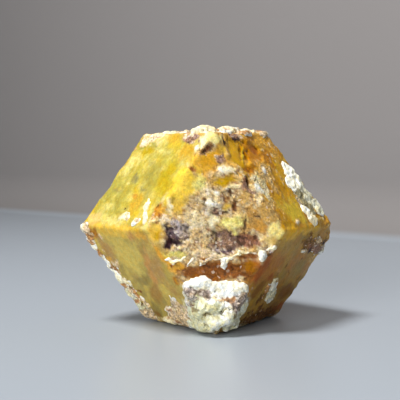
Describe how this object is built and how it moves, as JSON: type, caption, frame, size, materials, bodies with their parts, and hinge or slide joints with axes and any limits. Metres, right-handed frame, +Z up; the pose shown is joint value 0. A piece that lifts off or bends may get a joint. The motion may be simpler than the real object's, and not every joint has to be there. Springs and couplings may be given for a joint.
{
  "type": "grossular garnet crystal",
  "caption": "Loose natural garnet crystal, a rhombic dodecahedron with chipped faces and rough pale crust over its edges, resting on one flat rhombic face.",
  "frame": {"origin": "on the flat bottom face, straight below the centre of the crystal", "axes": "+X to the right along the crystal's longest extent, +Y away from the front face, +Z up from the resting face"},
  "size_m": [0.0466, 0.037, 0.0362],
  "materials": {
    "garnet": "cloudy yellow-green to orange-brown garnet, waxy on the natural faces, glassy on the chips",
    "matrix_crust": "chalky cream and pale green mineral crust, rough and granular"
  },
  "bodies": {
    "root": {"garnet_crystal": "garnet"}
  },
  "joints": []
}
